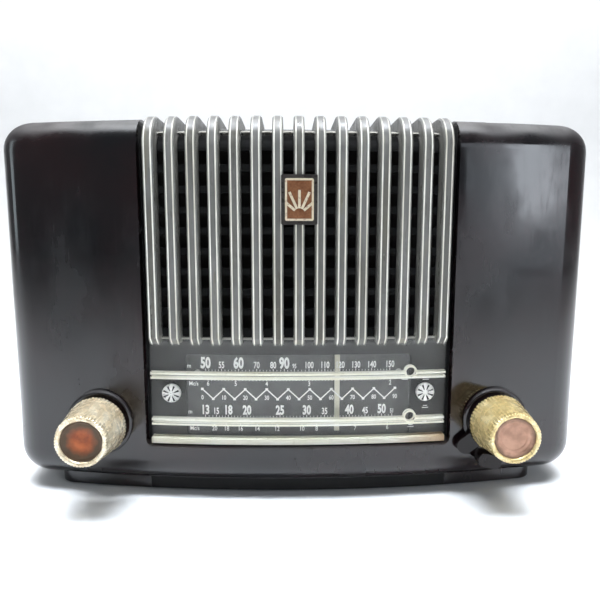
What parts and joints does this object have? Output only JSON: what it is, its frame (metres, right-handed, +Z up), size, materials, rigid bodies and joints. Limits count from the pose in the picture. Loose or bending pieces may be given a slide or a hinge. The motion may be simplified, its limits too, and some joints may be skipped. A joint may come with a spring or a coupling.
{
  "type": "bakelite table radio",
  "caption": "Compact moulded table radio with a bowed front, clear ribbed grille moulding, slide-rule dial, two fluted knobs, loudspeaker and valve chassis.",
  "frame": {"origin": "on the table, under the middle of the whole depth, knobs included, and midway between the sides", "axes": "+X to the right seen from the front, +Y from the front to the back, +Z up"},
  "size_m": [0.27, 0.1586, 0.1712],
  "materials": {
    "bakelite": "moulded phenolic, very dark burgundy brown, glossy and worn",
    "rubber": "matt black rubber",
    "clear_acrylic": "clear moulded acrylic, satin on the ribs, cream paint in its ridges",
    "nickel": "nickel plated",
    "dark_enamel": "dark enamel on a stamped plate",
    "badge_copper": "copper with worn cream enamel",
    "scale_paint": "satin dark grey paint",
    "plated_steel": "zinc plated steel",
    "pointer_paint": "cream paint",
    "cord_thread": "waxed linen thread",
    "drum_alloy": "die-cast alloy",
    "brass": "turned brass",
    "knob_gold": "gilt paint over a moulded knob, worn at the flutes",
    "knob_lacquer_right": "salmon copper lacquer",
    "knob_lacquer_left": "red copper lacquer",
    "pot_case": "plated case",
    "lever_bakelite": "moulded phenolic, glossy",
    "paxolin": "resin-bonded paper",
    "cloth": "dark woven loudspeaker cloth",
    "board": "chipboard",
    "basket_paint": "grey stoved paint",
    "cone_paper": "pressed paper",
    "magnet_steel": "ground magnet steel",
    "chassis_steel": "cadmium plated sheet",
    "lamp_glass": "clear glass with a metal cap",
    "socket_moulding": "moulded phenolic",
    "valve_collar": "pressed aluminium",
    "valve_glass": "blown glass, silvered at the top",
    "valve_nickel": "blackened nickel",
    "vane_aluminium": "aluminium plates",
    "lamination": "stacked iron with a paper bobbin",
    "can_aluminium": "drawn aluminium",
    "ceramic": "glazed ceramic with a wire winding",
    "copper_wire": "enamelled copper wire",
    "wax_paper": "waxed paper tube",
    "pressed_board": "pressed fibre board"
  },
  "bodies": {
    "set": {"cabinet": "bakelite", "feet": "rubber", "front_moulding": "clear_acrylic", "scale_screws": "nickel", "badge_plate": "dark_enamel", "badge_emblem": "badge_copper", "scale_backplate": "scale_paint", "scale_pillars": "plated_steel", "drive_cord": "cord_thread", "pulley_posts": "plated_steel", "tuning_bush": "brass", "volume_control": "pot_case", "wave_switch_plate": "paxolin", "wave_switch_posts": "plated_steel", "speaker_cloth": "cloth", "speaker_baffle": "board", "baffle_screws": "plated_steel", "speaker_basket": "basket_paint", "speaker_magnet": "magnet_steel", "chassis": "chassis_steel", "chassis_bolts": "plated_steel", "lamp_holders": "brass", "lamp_bulbs": "lamp_glass", "valve_sockets": "socket_moulding", "valve_bases": "valve_collar", "valve_glasses": "valve_glass", "valve_electrodes": "valve_nickel", "gang_frame": "plated_steel", "gang_stator": "vane_aluminium", "output_transformer": "lamination", "if_cans": "can_aluminium", "smoothing_capacitor": "can_aluminium", "mains_dropper": "ceramic", "aerial_coil": "paxolin", "aerial_coil_winding": "copper_wire", "tag_board": "paxolin", "wax_capacitors": "wax_paper", "socket_strip": "paxolin", "socket_tubes": "brass", "rear_cover": "pressed_board", "rear_cover_screws": "plated_steel", "mains_grommet": "rubber"},
    "tuning": {"tuning_knob": "knob_gold", "tuning_knob_insert": "knob_lacquer_right", "tuning_grub_screw": "plated_steel", "tuning_spindle": "plated_steel"},
    "volume": {"volume_knob": "knob_gold", "volume_knob_insert": "knob_lacquer_left", "volume_grub_screw": "plated_steel", "volume_spindle": "plated_steel"},
    "wave_change": {"wave_lever": "lever_bakelite", "wave_shaft": "brass", "wave_switch_rotor": "paxolin"},
    "gang": {"gang_rotor": "vane_aluminium", "drive_drum": "drum_alloy", "drum_spring": "plated_steel"},
    "pointer": {"pointer": "pointer_paint"},
    "pulley_left": {"cord_pulley_left": "brass"},
    "pulley_right": {"cord_pulley_right": "brass"},
    "cone": {"speaker_cone": "cone_paper"}
  },
  "joints": [
    {"name": "gang_turn", "type": "hinge", "parent": "set", "child": "gang", "pos_m": [-0.096, -0.03668, 0.072], "axis": [0, 1, 0], "range_deg": [-128.75, 51.5]},
    {"name": "tuning_turn", "type": "hinge", "parent": "set", "child": "tuning", "pos_m": [0.0898, -0.03668, 0.0357], "axis": [0, 1, 0], "range_deg": [-1042.74, 417.7]},
    {"name": "pointer_slide", "type": "slide", "parent": "set", "child": "pointer", "axis": [1, 0, 0], "range_m": [-0.0601, 0.0241]},
    {"name": "pulley_left_turn", "type": "hinge", "parent": "set", "child": "pulley_left", "pos_m": [-0.057, -0.03668, 0.0756], "axis": [0, 1, 0], "range_deg": [-270.63, 675.07]},
    {"name": "pulley_right_turn", "type": "hinge", "parent": "set", "child": "pulley_right", "pos_m": [0.058, -0.03668, 0.0654], "axis": [0, 1, 0], "range_deg": [-675.07, 270.63]},
    {"name": "volume_turn", "type": "hinge", "parent": "set", "child": "volume", "pos_m": [-0.0898, -0.03668, 0.0357], "axis": [0, 1, 0], "range_deg": [0, 300]},
    {"name": "wave_change_turn", "type": "hinge", "parent": "set", "child": "wave_change", "pos_m": [0.0898, -0.03668, 0.0357], "axis": [0, 1, 0], "range_deg": [-25, 25]},
    {"name": "cone_slide", "type": "slide", "parent": "set", "child": "cone", "axis": [0, 1, 0], "range_m": [-0.0008, 0.0008], "stiffness_N_per_m": 1200}
  ],
  "couplings": [
    {"joint": "tuning_turn", "follows": "gang_turn", "ratio": 8.0909},
    {"joint": "pointer_slide", "follows": "gang_turn", "m_per_rad": 0.0267},
    {"joint": "pulley_left_turn", "follows": "gang_turn", "ratio": -5.2353},
    {"joint": "pulley_right_turn", "follows": "gang_turn", "ratio": 5.2353}
  ]
}
